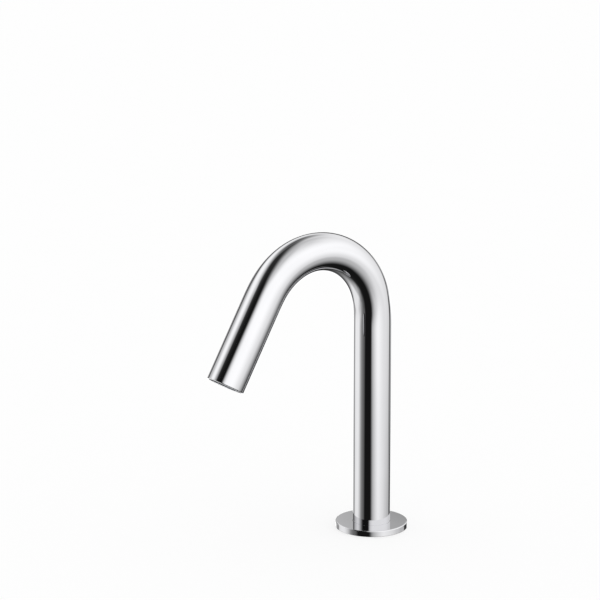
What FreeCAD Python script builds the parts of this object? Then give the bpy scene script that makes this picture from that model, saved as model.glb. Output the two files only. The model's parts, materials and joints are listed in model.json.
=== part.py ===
"""Slim gooseneck sensor tap for a basin deck, modelled as the pieces that it is assembled from.

A chromed brass tube rises from a round flange, bends through 150 degrees and points down at the basin.
Its mouth holds a nozzle block, with a screw-in aerator on the side of the column and a proximity sensor
behind a smoked window on the user's side.  A water hose and the sensor lead run through the tube and the
hollow threaded shank, which passes through the deck and is clamped from below by washers and a nut.

Frame: millimetres, +Z up, the deck's surface at Z = 0, the column on the Z axis, the spout towards -Y.
What runs inside the neck has an "inward" distance from the tube's centre line, counted towards the bend's
centre, and heights in the mouth are counted from the tube's end back up the spout.
"""

import FreeCAD
import Part
import math
import os

Vec = FreeCAD.Vector

# ---------------------------------------------------------------- driving dimensions: the neck
TUBE_OD = 25.0
TUBE_WALL = 1.2
LEG_HEIGHT = 146.0  # deck to the start of the bend
BEND_RADIUS = 47.0  # of the tube's centre line
SPOUT_TILT = 30.0  # degrees between the spout and the vertical
SPOUT_LENGTH = 62.0  # straight stretch after the bend
TUBE_EDGE_ROUND = 0.25  # broken edge of the tube's mouth

# ---------------------------------------------------------------- the base
FLANGE_OD = 48.0
FLANGE_TOP = 4.3  # above the deck
FLANGE_LIFT = 0.3  # gap that the gasket keeps between flange and deck
FLANGE_LEDGE = 1.2  # thickness of the ledge that the tube's end stands on
FLANGE_ROUND = 0.5  # top outer edge
FLANGE_BORE_GAP = 0.05
GASKET_INSET = 2.5  # from the flange's edge
GASKET_MARGIN = 3.5  # from the tube's outside
GASKET_THICKNESS = 1.2
GASKET_GAP = 0.1

# ---------------------------------------------------------------- the threaded shank and its clamp
SHANK_SPIGOT = 16.0  # height of the plain spigot brazed into the tube
SHANK_STEP = 0.25  # the thread's radius is this much under the spigot's
SHANK_WALL = 2.5
SHANK_REACH = 52.0  # below the deck
SHANK_CHAMFER = 0.8
SHANK_GAP = 0.05  # between spigot and tube, and between thread and nut
LEDGE_GAP = 0.15  # between thread and the flange's ledge
DECK_THICKNESS = 20.0  # deck that the clamp is set for at rest
WASHER_WIDTH = 10.5
WASHER_GAP = 0.5  # between thread and washers
RUBBER_WASHER = 3.0
STEEL_WASHER = 2.0
NUT_HEIGHT = 8.0
NUT_WALL = 3.95  # least wall, at the middle of a flat
NUT_CHAMFER = 1.0

# ---------------------------------------------------------------- the plug, the hose and the lead
PLUG_DEPTH = 10.0
PLUG_HEAD = 3.0
PLUG_HEAD_INSET = 1.0  # head radius under the thread's, so that the nut passes over it
PLUG_GAP = 0.05
PLUG_WALL = 0.45  # least wall outside the gland
HOSE_OD = 7.5
HOSE_ID = 5.0
FERRULE_WALL = 0.45
FERRULE_LENGTH = 9.0
FERRULE_GAP = 0.02
FERRULE_CLEARANCE = 0.3  # between the crimped hose end and the shank's bore
BARB_LENGTH = 12.0
BARB_GAP = 0.05
WATERWAY = 3.6  # bore of the nipple and of the nozzle's spigot
NIPPLE_OD = 8.0  # plain end for a push-fit coupling
NIPPLE_LENGTH = 18.0
NIPPLE_NECK_OD = 7.2  # part of the nipple that sits in the plug
NIPPLE_CHAMFER = 0.6
CABLE_OD = 2.6
CABLE_GAP = 0.02
CABLE_CLEARANCE = 0.3  # between the lead and the sensor's case
CABLE_INSET = 6.0  # the lead stops this far up inside the gland
GLAND_WALL = 0.6
GLAND_TAIL = 4.0  # below the plug's head
GLAND_RIM = 0.8
GLAND_RIM_WIDTH = 0.7

# ---------------------------------------------------------------- the nozzle block in the spout's mouth
NOZZLE_RECESS = 0.8  # the block's face behind the tube's edge
NOZZLE_GAP = 0.05
CHAMBER_LENGTH = 4.0
CHAMBER_LEDGE = 1.75  # seat of the aerator's seal
AERATOR_WALL = 0.85  # block outside the aerator's thread
POCKET_WALL = 1.2  # block outside the sensor's D-shaped pocket
POCKET_CORNER = 0.9
POCKET_LIP = 0.5  # lip that holds the window
POCKET_LIP_HEIGHT = 0.8
POCKET_WEB = 0.75  # between the pocket and the aerator's thread
SCREW_OD = 3.0
SCREW_LAND = 1.6  # between the aerator's seal and the screw
SCREW_LENGTH = 2.6
SCREW_INSET = 0.2  # below the tube's outside
SCREW_GAP = 0.02
SCREW_KEY = 1.5  # across the flats of the hexagon socket
SCREW_KEY_DEPTH = 1.2
RING_LAND = 2.75  # between the screw and the seal ring's groove
RING_SECTION = 1.5
RING_BITE = 0.75  # depth of the groove
TOP_LAND = 3.0  # above the groove

# ---------------------------------------------------------------- the aerator
AERATOR_GAP = 0.05
AERATOR_SHELL = 1.2
AERATOR_LIP = 0.7
AERATOR_LIP_HEIGHT = 0.8
AERATOR_NOTCHES = 4
AERATOR_NOTCH_WIDTH = 1.8
AERATOR_NOTCH_DEPTH = 1.0
AERATOR_SEAL = 1.5
INSERT_GAP = 0.05
MESH_HEIGHT = 2.4
MESH_PITCH = 1.55
MESH_HOLE = 1.25
MESH_EDGE = 0.25
MIXING_SPACE = 1.6
JET_PLATE = 1.4
JET_SKIRT = 0.7
JET_HOLES = 12
JET_HOLE = 0.8
JET_EDGE = 1.3  # from the plate's edge to the circle of holes
REGULATOR_HEIGHT = 2.6
REGULATOR_POST = 0.3745  # radius of the post, as a share of the room inside the rim
REGULATOR_FLOOR = 0.8
REGULATOR_RIM = 0.9
REGULATOR_HOLES = 6
REGULATOR_RING = 1.3
SCREEN_HEIGHT = 0.6
SCREEN_PITCH = 1.2
SCREEN_HOLE = 0.7
SCREEN_EDGE = 0.4
SCREEN_DEPTH = 1.1  # of the screen below the shell's top rim

# ---------------------------------------------------------------- the sensor
SENSOR_GAP = 0.05
WINDOW_THICKNESS = 1.8
WINDOW_SEAL = 0.6
WINDOW_SEAL_WIDTH = 0.6
CASE_WALL = 0.6
COVER_THICKNESS = 1.2
BOOT_LENGTH = 5.0
BOOT_WALL = 0.8
DIODE_OD = 3.0
DIODE_LENGTH = 4.0
DIODE_ROUND = 0.6
DIODE_SPREAD = 3.2  # of each diode from the middle
DIODE_STAND = 0.3  # behind the window
BARRIER_THICKNESS = 0.9
BOARD_THICKNESS = 0.8
BOARD_LENGTH = 12.0
BOARD_EDGE_GAP = 0.3
CHIP_WIDTH = 4.0
CHIP_THICKNESS = 1.0

# ---------------------------------------------------------------- sizes that follow: the base and the shank
tube_r = TUBE_OD / 2
bore_r = tube_r - TUBE_WALL
tube_foot = FLANGE_LIFT + FLANGE_LEDGE
gasket_outer_r = FLANGE_OD / 2 - GASKET_INSET
gasket_inner_r = tube_r + GASKET_MARGIN
spigot_r = bore_r - SHANK_GAP
thread_r = spigot_r - SHANK_STEP
shank_bore_r = thread_r - SHANK_WALL
washer_bore_r = thread_r + WASHER_GAP
nut_bore_r = thread_r + SHANK_GAP
nut_top = -(DECK_THICKNESS + RUBBER_WASHER + STEEL_WASHER)
nut_flats = 2 * (nut_bore_r + NUT_WALL)

# ---------------------------------------------------------------- sizes that follow: the hose and the lead
plug_r = shank_bore_r - PLUG_GAP
plug_top = -SHANK_REACH + PLUG_DEPTH
plug_foot = -SHANK_REACH - PLUG_HEAD
hose_r = HOSE_OD / 2
ferrule_r = hose_r + FERRULE_GAP + FERRULE_WALL
hose_in = shank_bore_r - FERRULE_CLEARANCE - ferrule_r  # inward distance of the hose
barb_r = HOSE_ID / 2 - BARB_GAP
cable_r = CABLE_OD / 2
cable_hole_r = cable_r + CABLE_GAP
gland_r = cable_hole_r + GLAND_WALL
cable_out = plug_r - PLUG_WALL - gland_r  # outward distance of the lead
gland_foot = plug_foot - GLAND_TAIL

# ---------------------------------------------------------------- sizes that follow: across the mouth
block_r = bore_r - NOZZLE_GAP
pocket_r = block_r - POCKET_WALL
pocket_flat = cable_out - cable_r - CABLE_CLEARANCE - CASE_WALL - SENSOR_GAP  # from the axis to the D's flat
pocket_middle = (pocket_r + pocket_flat) / 2
aerator_bore_r = (block_r - AERATOR_WALL + pocket_flat - POCKET_WEB) / 2
aerator_in = block_r - AERATOR_WALL - aerator_bore_r
aerator_r = aerator_bore_r - AERATOR_GAP
chamber_r = aerator_bore_r - CHAMBER_LEDGE
insert_r = aerator_r - AERATOR_SHELL - INSERT_GAP
regulator_room = insert_r - REGULATOR_RIM
regulator_r = REGULATOR_POST * regulator_room
regulator_circle = (regulator_room + regulator_r) / 2
screw_head = tube_r - SCREW_INSET

# ---------------------------------------------------------------- sizes that follow: up the mouth
aerator_foot = NOZZLE_RECESS + INSERT_GAP
mesh_foot = aerator_foot + AERATOR_LIP_HEIGHT
jet_foot = mesh_foot + MESH_HEIGHT
jet_floor = jet_foot + MIXING_SPACE
regulator_foot = jet_floor + JET_PLATE
screen_foot = regulator_foot + REGULATOR_HEIGHT
aerator_top = screen_foot + SCREEN_HEIGHT + SCREEN_DEPTH
aerator_seal_top = aerator_top + AERATOR_SEAL
screw_height = aerator_seal_top + SCREW_LAND + SCREW_OD / 2
groove_foot = screw_height + SCREW_OD / 2 + RING_LAND
groove_top = groove_foot + RING_SECTION
block_top = groove_top + TOP_LAND
window_top = NOZZLE_RECESS + WINDOW_THICKNESS
case_foot = window_top + WINDOW_SEAL
case_top = block_top - COVER_THICKNESS
diode_foot = window_top + DIODE_STAND
diode_top = diode_foot + DIODE_LENGTH
board_top = diode_top + BOARD_LENGTH

# ---------------------------------------------------------------- the bend and the mouth's frame
# In the mouth's frame +Z runs back up the spout and +Y points inward, to the side of the column.
bend_sweep = 180.0 - SPOUT_TILT
tilt = math.radians(SPOUT_TILT)
bend_centre = Vec(0, -BEND_RADIUS, LEG_HEIGHT)
bend_end = bend_centre + Vec(0, -BEND_RADIUS * math.cos(tilt), BEND_RADIUS * math.sin(tilt))
mouth_centre = bend_end + Vec(0, -SPOUT_LENGTH * math.sin(tilt), -SPOUT_LENGTH * math.cos(tilt))
MOUTH = FreeCAD.Placement(mouth_centre, FreeCAD.Rotation(Vec(1, 0, 0), -SPOUT_TILT))

NEAR = 1e-4  # two lengths closer than this are the same


# ---------------------------------------------------------------- small helpers
def cylinder(radius, low, high, x=0.0, y=0.0):
    """Upright cylinder between two heights."""
    return Part.makeCylinder(radius, high - low, Vec(x, y, low))


def cross_bar(radius, start, end, height):
    """Round bar along +Y at a height, from one distance to another."""
    return Part.makeCylinder(radius, end - start, Vec(0, start, height), Vec(0, 1, 0))


def box(x0, x1, y0, y1, z0, z1):
    """Box between two corners."""
    return Part.makeBox(x1 - x0, y1 - y0, z1 - z0, Vec(x0, y0, z0))


def ring(outer, inner, low, high, x=0.0, y=0.0):
    """Flat-ended ring between two heights."""
    return cylinder(outer, low, high, x, y).cut(cylinder(inner, low, high, x, y))


def flat_outline(points, height=0.0):
    """Face inside a closed outline of (x, y) points at a height."""
    corners = [Vec(x, y, height) for x, y in points]
    return Part.Face(Part.makePolygon(corners + corners[:1]))


def turned(points, y=0.0):
    """Solid of revolution about the vertical at y of a closed outline of (radius, height) points."""
    corners = [Vec(r, y, z) for r, z in points]
    face = Part.Face(Part.makePolygon(corners + corners[:1]))
    return face.revolve(Vec(0, y, 0), Vec(0, 0, 1), 360)


def hexagon(across_flats, low, high):
    """Upright hexagonal prism on the axis."""
    corner = across_flats / math.sqrt(3)
    turns = [math.radians(60 * k) for k in range(6)]
    outline = [(corner * math.cos(t), corner * math.sin(t)) for t in turns]
    return flat_outline(outline, low).extrude(Vec(0, 0, high - low))


def d_prism(inset, low, high):
    """Upright prism of the sensor pocket's D shape, drawn in by an inset, on the user's side."""
    radius = pocket_r - inset
    flat = -(pocket_flat + inset)
    shape = cylinder(radius, low, high).cut(box(-pocket_r, pocket_r, flat, pocket_r, low, high))

    def is_corner(edge):
        start, end = edge.firstVertex().Point, edge.lastVertex().Point
        upright = abs(start.x - end.x) < NEAR and abs(start.y - end.y) < NEAR
        return upright and abs(start.y - flat) < NEAR

    corners = [e for e in shape.Edges if is_corner(e)]
    return shape.makeFillet(max(POCKET_CORNER - inset, SENSOR_GAP), corners)


def grid_holes(radius, edge, pitch, hole, low, high):
    """Round holes on a triangular grid that keep clear of the edge of the aerator's disc."""
    holes = []
    reach = int(radius / pitch) + 1
    for row in range(-reach, reach + 1):
        for column in range(-reach, reach + 1):
            x = (column + 0.5 * (row % 2)) * pitch
            y = row * pitch * math.sqrt(3) / 2
            if math.hypot(x, y) + hole / 2 + edge < radius:
                holes.append(cylinder(hole / 2, low, high, x, aerator_in + y))
    return holes


def circle_holes(count, circle, hole, low, high):
    """Round holes on a circle round the aerator's axis."""
    turns = [2 * math.pi * k / count for k in range(count)]
    places = [(circle * math.cos(t), aerator_in + circle * math.sin(t)) for t in turns]
    return [cylinder(hole / 2, low, high, x, y) for x, y in places]


def along_neck(radius, inward, foot, end):
    """Round bar along the neck at an inward distance, from a height in the column to one in the mouth."""
    column = cylinder(radius, foot, LEG_HEIGHT, 0, -inward)
    circle = Part.Wire(Part.makeCircle(radius, Vec(0, -inward, LEG_HEIGHT), Vec(0, 0, 1)))
    bend = Part.Face(circle).revolve(bend_centre, Vec(1, 0, 0), bend_sweep)
    spout = at_mouth(cylinder(radius, end, SPOUT_LENGTH, 0, inward))
    return column.fuse([bend, spout]).removeSplitter()


def at_mouth(shape):
    """Shape drawn in the mouth's frame, moved to its place."""
    placed = shape.copy()
    placed.Placement = MOUTH.multiply(placed.Placement)
    return placed


def circle_edges(shape, radius, centre):
    """The shape's full circular edges of that radius round that point."""
    curves = [(e, e.Curve) for e in shape.Edges if isinstance(e.Curve, Part.Circle)]
    return [e for e, c in curves if abs(c.Radius - radius) < NEAR and c.Center.distanceToPoint(centre) < NEAR]


# ---------------------------------------------------------------- the neck and the base
def spout_tube():
    """Bent tube with a broken edge at its mouth and a hole for the grub screw on the hidden side."""
    tube = along_neck(tube_r, 0.0, tube_foot, 0.0).cut(along_neck(bore_r, 0.0, tube_foot, 0.0))
    tube = tube.makeFillet(TUBE_EDGE_ROUND, circle_edges(tube, tube_r, mouth_centre))
    return tube.cut(at_mouth(cross_bar(SCREW_OD / 2 + NOZZLE_GAP, 0, TUBE_OD, screw_height)))


def base_flange():
    """Cover disc: the tube stands on a ledge in its bore, and its underside is cut back for the gasket."""
    disc = cylinder(FLANGE_OD / 2, FLANGE_LIFT, FLANGE_TOP)
    disc = disc.makeFillet(FLANGE_ROUND, circle_edges(disc, FLANGE_OD / 2, Vec(0, 0, FLANGE_TOP)))
    return disc.cut([
        cylinder(tube_r + FLANGE_BORE_GAP, tube_foot, FLANGE_TOP),
        cylinder(thread_r + LEDGE_GAP, FLANGE_LIFT, tube_foot),
        ring(gasket_outer_r + GASKET_GAP, gasket_inner_r - GASKET_GAP, FLANGE_LIFT, GASKET_THICKNESS),
    ])


def base_gasket():
    """Flat rubber ring that seals the flange to the deck."""
    return ring(gasket_outer_r, gasket_inner_r, 0.0, GASKET_THICKNESS)


def mounting_shank():
    """Hollow stud: a plain spigot inside the tube and a long thread below it."""
    return turned([
        (shank_bore_r, -SHANK_REACH),
        (thread_r - SHANK_CHAMFER, -SHANK_REACH),
        (thread_r, -SHANK_REACH + SHANK_CHAMFER),
        (thread_r, tube_foot),
        (spigot_r, tube_foot),
        (spigot_r, tube_foot + SHANK_SPIGOT),
        (shank_bore_r, tube_foot + SHANK_SPIGOT),
    ])


# ---------------------------------------------------------------- the clamp under the deck
def rubber_washer():
    """Soft washer against the deck's underside."""
    return ring(washer_bore_r + WASHER_WIDTH, washer_bore_r, nut_top + STEEL_WASHER, -DECK_THICKNESS)


def steel_washer():
    """Stiff washer that spreads the nut's load."""
    return ring(washer_bore_r + WASHER_WIDTH, washer_bore_r, nut_top, nut_top + STEEL_WASHER)


def fixing_nut():
    """Hexagon nut with both rims turned to a chamfer."""
    corner = nut_flats / math.sqrt(3)
    foot = nut_top - NUT_HEIGHT
    slope = 2 * NUT_CHAMFER
    envelope = turned([
        (0, foot),
        (corner - slope, foot),
        (corner, foot + NUT_CHAMFER),
        (corner, nut_top - NUT_CHAMFER),
        (corner - slope, nut_top),
        (0, nut_top),
    ])
    return hexagon(nut_flats, foot, nut_top).common(envelope).cut(cylinder(nut_bore_r, foot, nut_top))


# ---------------------------------------------------------------- the plug, the hose and the lead
def bottom_plug():
    """Moulded plug in the shank's end that carries the nipple and the lead's gland."""
    plug = cylinder(plug_r, plug_foot, plug_top)
    plug = plug.fuse(cylinder(thread_r - PLUG_HEAD_INSET, plug_foot, -SHANK_REACH)).removeSplitter()
    return plug.cut([
        cylinder(NIPPLE_NECK_OD / 2 + PLUG_GAP, plug_foot, plug_top, 0, -hose_in),
        cylinder(gland_r, plug_foot, plug_top, 0, cable_out),
    ])


def inlet_nipple():
    """Water inlet: a plain end for a coupling, a neck through the plug, and a spigot up into the hose."""
    tip = plug_foot - NIPPLE_LENGTH
    return turned([
        (WATERWAY / 2, tip),
        (NIPPLE_OD / 2 - NIPPLE_CHAMFER, tip),
        (NIPPLE_OD / 2, tip + NIPPLE_CHAMFER),
        (NIPPLE_OD / 2, plug_foot),
        (NIPPLE_NECK_OD / 2, plug_foot),
        (NIPPLE_NECK_OD / 2, plug_top),
        (barb_r, plug_top),
        (barb_r, plug_top + BARB_LENGTH),
        (WATERWAY / 2, plug_top + BARB_LENGTH),
    ], -hose_in)


def cable_gland():
    """Rubber sleeve that the lead leaves through, with a rim under the plug."""
    sleeve = cylinder(gland_r, gland_foot, plug_top + GLAND_RIM, 0, cable_out)
    rim = cylinder(gland_r + GLAND_RIM_WIDTH, plug_foot - GLAND_RIM, plug_foot, 0, cable_out)
    sleeve = sleeve.fuse(rim).removeSplitter()
    return sleeve.cut(cylinder(cable_hole_r, gland_foot, plug_top + GLAND_RIM, 0, cable_out))


def water_hose():
    """Inner hose, pushed over a spigot at each end."""
    outer = along_neck(hose_r, hose_in, plug_top, block_top)
    return outer.cut(along_neck(HOSE_ID / 2, hose_in, plug_top, block_top))


def hose_ferrules():
    """The two crimped sleeves on the hose's ends."""
    start = (BARB_LENGTH - FERRULE_LENGTH) / 2
    lower, upper = plug_top + start, block_top + start
    return Part.makeCompound([
        ring(ferrule_r, hose_r + FERRULE_GAP, lower, lower + FERRULE_LENGTH, 0, -hose_in),
        at_mouth(ring(ferrule_r, hose_r + FERRULE_GAP, upper, upper + FERRULE_LENGTH, 0, hose_in)),
    ])


def sensor_cable():
    """The sensor's lead, from the board down to the gland, on the outer side of the bend."""
    return along_neck(cable_r, -cable_out, gland_foot + CABLE_INSET, board_top)


# ---------------------------------------------------------------- the nozzle block
def nozzle_block():
    """Moulded block in the mouth with the aerator's seat, the water chamber and the sensor's pocket."""
    block = cylinder(block_r, NOZZLE_RECESS, block_top)
    block = block.fuse(cylinder(barb_r, block_top, block_top + BARB_LENGTH, 0, hose_in)).removeSplitter()
    return at_mouth(block.cut([
        cylinder(aerator_bore_r, NOZZLE_RECESS, aerator_seal_top, 0, aerator_in),
        cylinder(chamber_r, aerator_seal_top, aerator_seal_top + CHAMBER_LENGTH, 0, aerator_in),
        cylinder(WATERWAY / 2, aerator_seal_top, block_top + BARB_LENGTH, 0, hose_in),
        d_prism(POCKET_LIP, NOZZLE_RECESS, NOZZLE_RECESS + POCKET_LIP_HEIGHT),
        d_prism(0.0, NOZZLE_RECESS + POCKET_LIP_HEIGHT, block_top),
        ring(block_r, block_r - RING_BITE, groove_foot, groove_top),
        cross_bar(SCREW_OD / 2 + SCREW_GAP, screw_head - SCREW_LENGTH, TUBE_OD, screw_height),
    ]))


def block_seal_ring():
    """O-ring in the block's groove, squeezed nearly flat by the tube."""
    seal = ring(bore_r, block_r - RING_BITE, groove_foot, groove_top)
    width = bore_r - block_r + RING_BITE
    return at_mouth(seal.makeFillet(0.4 * width, seal.Edges))


def grub_screw():
    """Screw through the tube's hidden side that holds the block."""
    screw = cross_bar(SCREW_OD / 2, screw_head - SCREW_LENGTH, screw_head, screw_height)
    key = hexagon(SCREW_KEY, 0, SCREW_KEY_DEPTH)
    key.Placement = FreeCAD.Placement(Vec(0, screw_head, screw_height), FreeCAD.Rotation(Vec(1, 0, 0), 90))
    return at_mouth(screw.cut(key))


# ---------------------------------------------------------------- the aerator
def aerator_shell():
    """Cartridge with an inner lip at the outlet and notches for its key."""
    inner = aerator_r - AERATOR_SHELL
    lip = inner - AERATOR_LIP
    half = AERATOR_NOTCH_WIDTH / 2
    notch_top = aerator_foot + AERATOR_NOTCH_DEPTH
    shell = ring(aerator_r, inner, aerator_foot, aerator_top).fuse(
        ring(inner, lip, aerator_foot, aerator_foot + AERATOR_LIP_HEIGHT)).removeSplitter()
    for k in range(AERATOR_NOTCHES):
        notch = box(lip + AERATOR_LIP / 2, aerator_r, -half, half, aerator_foot, notch_top)
        notch.rotate(Vec(0, 0, 0), Vec(0, 0, 1), 360 * k / AERATOR_NOTCHES)
        shell = shell.cut(notch)
    shell.translate(Vec(0, aerator_in, 0))
    return at_mouth(shell)


def aerator_seal():
    """Flat washer between the cartridge and the block."""
    return at_mouth(ring(aerator_r, chamber_r, aerator_top, aerator_seal_top, 0, aerator_in))


def outlet_mesh():
    """Honeycomb disc that the water leaves through."""
    disc = cylinder(insert_r, mesh_foot, jet_foot, 0, aerator_in)
    holes = grid_holes(insert_r, MESH_EDGE, MESH_PITCH, MESH_HOLE, mesh_foot, jet_foot)
    return at_mouth(disc.cut(holes))


def jet_plate():
    """Plate that breaks the water into jets above the mixing space, standing on the mesh by its skirt."""
    plate = cylinder(insert_r, jet_foot, regulator_foot, 0, aerator_in)
    plate = plate.cut(cylinder(insert_r - JET_SKIRT, jet_foot, jet_floor, 0, aerator_in))
    jets = circle_holes(JET_HOLES, insert_r - JET_EDGE, JET_HOLE, jet_floor, regulator_foot)
    return at_mouth(plate.cut(jets))


def flow_regulator():
    """Cup with a middle post; the rubber ring in it narrows the way as the pressure rises."""
    floor_top = regulator_foot + REGULATOR_FLOOR
    cup = ring(insert_r, insert_r - REGULATOR_RIM, regulator_foot, screen_foot, 0, aerator_in)
    cup = cup.fuse([
        cylinder(regulator_r, regulator_foot, screen_foot, 0, aerator_in),
        cylinder(insert_r, regulator_foot, floor_top, 0, aerator_in),
    ]).removeSplitter()
    holes = circle_holes(REGULATOR_HOLES, regulator_circle, JET_HOLE, regulator_foot, floor_top)
    return at_mouth(cup.cut(holes))


def regulator_ring():
    """Rubber ring on the regulator's floor, round its post."""
    half = REGULATOR_RING / 2
    centre = Vec(0, aerator_in, regulator_foot + REGULATOR_FLOOR + half)
    return at_mouth(Part.makeTorus(regulator_circle, half, centre))


def inlet_screen():
    """Fine screen on top of the cartridge that keeps grit out."""
    screen_top = screen_foot + SCREEN_HEIGHT
    disc = cylinder(insert_r, screen_foot, screen_top, 0, aerator_in)
    holes = grid_holes(insert_r, SCREEN_EDGE, SCREEN_PITCH, SCREEN_HOLE, screen_foot, screen_top)
    return at_mouth(disc.cut(holes))


# ---------------------------------------------------------------- the sensor
def sensor_window():
    """Smoked window: a step behind the block's lip and a face flush with the block."""
    face = d_prism(POCKET_LIP + SENSOR_GAP, NOZZLE_RECESS, window_top)
    step = d_prism(SENSOR_GAP, NOZZLE_RECESS + POCKET_LIP_HEIGHT, window_top)
    return at_mouth(face.fuse(step).removeSplitter())


def window_seal():
    """Rubber frame between the window and the sensor's case."""
    frame = d_prism(SENSOR_GAP, window_top, case_foot)
    return at_mouth(frame.cut(d_prism(SENSOR_GAP + WINDOW_SEAL_WIDTH, window_top, case_foot)))


def sensor_case():
    """D-shaped sleeve that holds the board, open towards the window."""
    case = d_prism(SENSOR_GAP, case_foot, case_top)
    return at_mouth(case.cut(d_prism(SENSOR_GAP + CASE_WALL, case_foot, case_top)))


def case_cover():
    """Lid of the case with a boot round the lead."""
    boot_top = block_top + BOOT_LENGTH
    boot = cylinder(cable_hole_r + BOOT_WALL, block_top, boot_top, 0, -cable_out)
    cover = d_prism(SENSOR_GAP, case_top, block_top).fuse(boot).removeSplitter()
    return at_mouth(cover.cut(cylinder(cable_hole_r, case_top, boot_top, 0, -cable_out)))


def diode(x):
    """One diode with a rounded face towards the window."""
    body = cylinder(DIODE_OD / 2, diode_foot, diode_top, x, -pocket_middle)
    rim = circle_edges(body, DIODE_OD / 2, Vec(x, -pocket_middle, diode_foot))
    return at_mouth(body.makeFillet(DIODE_ROUND, rim))


def ir_emitter():
    """Infrared emitter."""
    return diode(-DIODE_SPREAD)


def ir_receiver():
    """Infrared receiver."""
    return diode(DIODE_SPREAD)


def light_barrier():
    """Opaque wall between the two diodes."""
    half = BARRIER_THICKNESS / 2
    inside = d_prism(2 * SENSOR_GAP + CASE_WALL, case_foot, diode_top)
    return at_mouth(inside.common(box(-half, half, -pocket_r, 0, case_foot, diode_top)))


def sensor_board():
    """Circuit board that stands on the diodes."""
    far = pocket_middle + BOARD_THICKNESS / 2
    half = math.sqrt((pocket_r - SENSOR_GAP - CASE_WALL) ** 2 - far ** 2) - BOARD_EDGE_GAP
    return at_mouth(box(-half, half, -far, -far + BOARD_THICKNESS, diode_top, board_top))


def sensor_chip():
    """Controller chip on the board's inner face."""
    half = CHIP_WIDTH / 2
    back = -pocket_middle + BOARD_THICKNESS / 2
    middle = (diode_top + board_top) / 2
    return at_mouth(box(-half, half, back, back + CHIP_THICKNESS, middle - half, middle + half))


PIECES = [
    spout_tube, base_flange, base_gasket, mounting_shank,
    rubber_washer, steel_washer, fixing_nut,
    bottom_plug, inlet_nipple, cable_gland, water_hose, hose_ferrules, sensor_cable,
    nozzle_block, block_seal_ring, grub_screw,
    aerator_shell, aerator_seal, outlet_mesh, jet_plate, flow_regulator, regulator_ring, inlet_screen,
    sensor_window, window_seal, sensor_case, case_cover, ir_emitter, ir_receiver, light_barrier,
    sensor_board, sensor_chip,
]


def main():
    """Writes one STEP file per piece and prints its solids, its volume and whether it is sound."""
    os.makedirs("parts", exist_ok=True)
    for piece in PIECES:
        shape = piece()
        shape.exportStep(os.path.join("parts", piece.__name__ + ".step"))
        count, volume = len(shape.Solids), shape.Volume
        print(f"{piece.__name__:16} {count} solid(s) {volume:10.1f} mm3  valid {shape.isValid()}")
    print(f"lead's bend {BEND_RADIUS + cable_out:.1f} mm, hose's bend {BEND_RADIUS - hose_in:.1f} mm")
    print(f"mouth at {mouth_centre.y:.3f}, {mouth_centre.z:.3f} mm, aerator {aerator_in:.3f} mm inward of it")
    print(f"hose {hose_in:.3f} mm inward, lead {cable_out:.3f} mm outward, thread radius {thread_r:.3f} mm")


main()
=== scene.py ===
"""Looks of a slim touchless basin tap: a bent chrome tube on a round flange, with its clamp below the deck.

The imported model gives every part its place, its size and the body that it moves with. This script dresses
those parts. It replaces the ones that show with finer surfaces, gives each one its finish, and lights the tap
as a product photographer would: large soft boxes and dark flags round a mirror, in front of white.

Lengths in the classes are in millimetres, as on a drawing. They become metres where a mesh is made.
"""

from __future__ import annotations

import json
import logging
import math
from dataclasses import dataclass, field
from enum import Enum

import bmesh
import bpy
import numpy as np
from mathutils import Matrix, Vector

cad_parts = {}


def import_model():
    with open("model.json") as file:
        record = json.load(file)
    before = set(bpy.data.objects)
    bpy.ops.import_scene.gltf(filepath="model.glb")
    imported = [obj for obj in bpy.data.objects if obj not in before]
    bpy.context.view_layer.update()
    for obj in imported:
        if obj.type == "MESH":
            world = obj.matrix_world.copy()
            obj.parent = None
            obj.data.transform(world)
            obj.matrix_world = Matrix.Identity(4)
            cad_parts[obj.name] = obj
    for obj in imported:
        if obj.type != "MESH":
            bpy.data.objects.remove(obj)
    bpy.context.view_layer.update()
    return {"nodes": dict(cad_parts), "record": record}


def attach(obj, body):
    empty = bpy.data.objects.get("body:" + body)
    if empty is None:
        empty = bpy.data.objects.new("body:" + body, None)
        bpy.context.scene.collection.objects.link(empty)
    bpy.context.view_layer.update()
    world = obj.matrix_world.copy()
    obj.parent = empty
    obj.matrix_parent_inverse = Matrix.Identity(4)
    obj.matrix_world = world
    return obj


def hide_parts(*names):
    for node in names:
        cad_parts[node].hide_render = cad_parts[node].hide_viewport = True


LOG = logging.getLogger("tap")
MM = 0.001  # metres in a millimetre
FULL_TURN = 2 * math.pi
ARC_STEPS = 6  # segments of a rounded edge
GUARD = 0.12  # millimetres from an edge to the row that keeps the side beside it flat
GUARDED_FROM = 5 * GUARD  # a shorter side has no such rows
MERGE = 0.002  # millimetres; points nearer than this are one point
SHARP_FROM = 32.0  # degrees; an edge that turns more stays sharp
MIX_COLOURS, MIX_RESULT = (6, 7), 2  # sockets of a Mix node's two colours and of their mix

Tree = bpy.types.NodeTree
Node = bpy.types.Node
Socket = bpy.types.NodeSocket
Thing = bpy.types.Object


class Body(Enum):
    """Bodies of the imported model."""

    TAP = "tap"
    WASHERS = "clamp_washers"
    NUT = "fixing_nut"
    AERATOR = "aerator"


class Slot(Enum):
    """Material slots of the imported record."""

    CHROME = "chrome_plate"
    BRASS = "turned_brass"
    STEEL = "stainless_steel"
    RUBBER = "black_rubber"
    DARK_PLASTIC = "dark_acetal"
    GREY_PLASTIC = "grey_acetal"
    HOSE = "white_hose"
    CABLE = "cable_jacket"
    WINDOW = "smoked_window"
    BOARD = "circuit_board"
    EPOXY = "black_epoxy"


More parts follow.
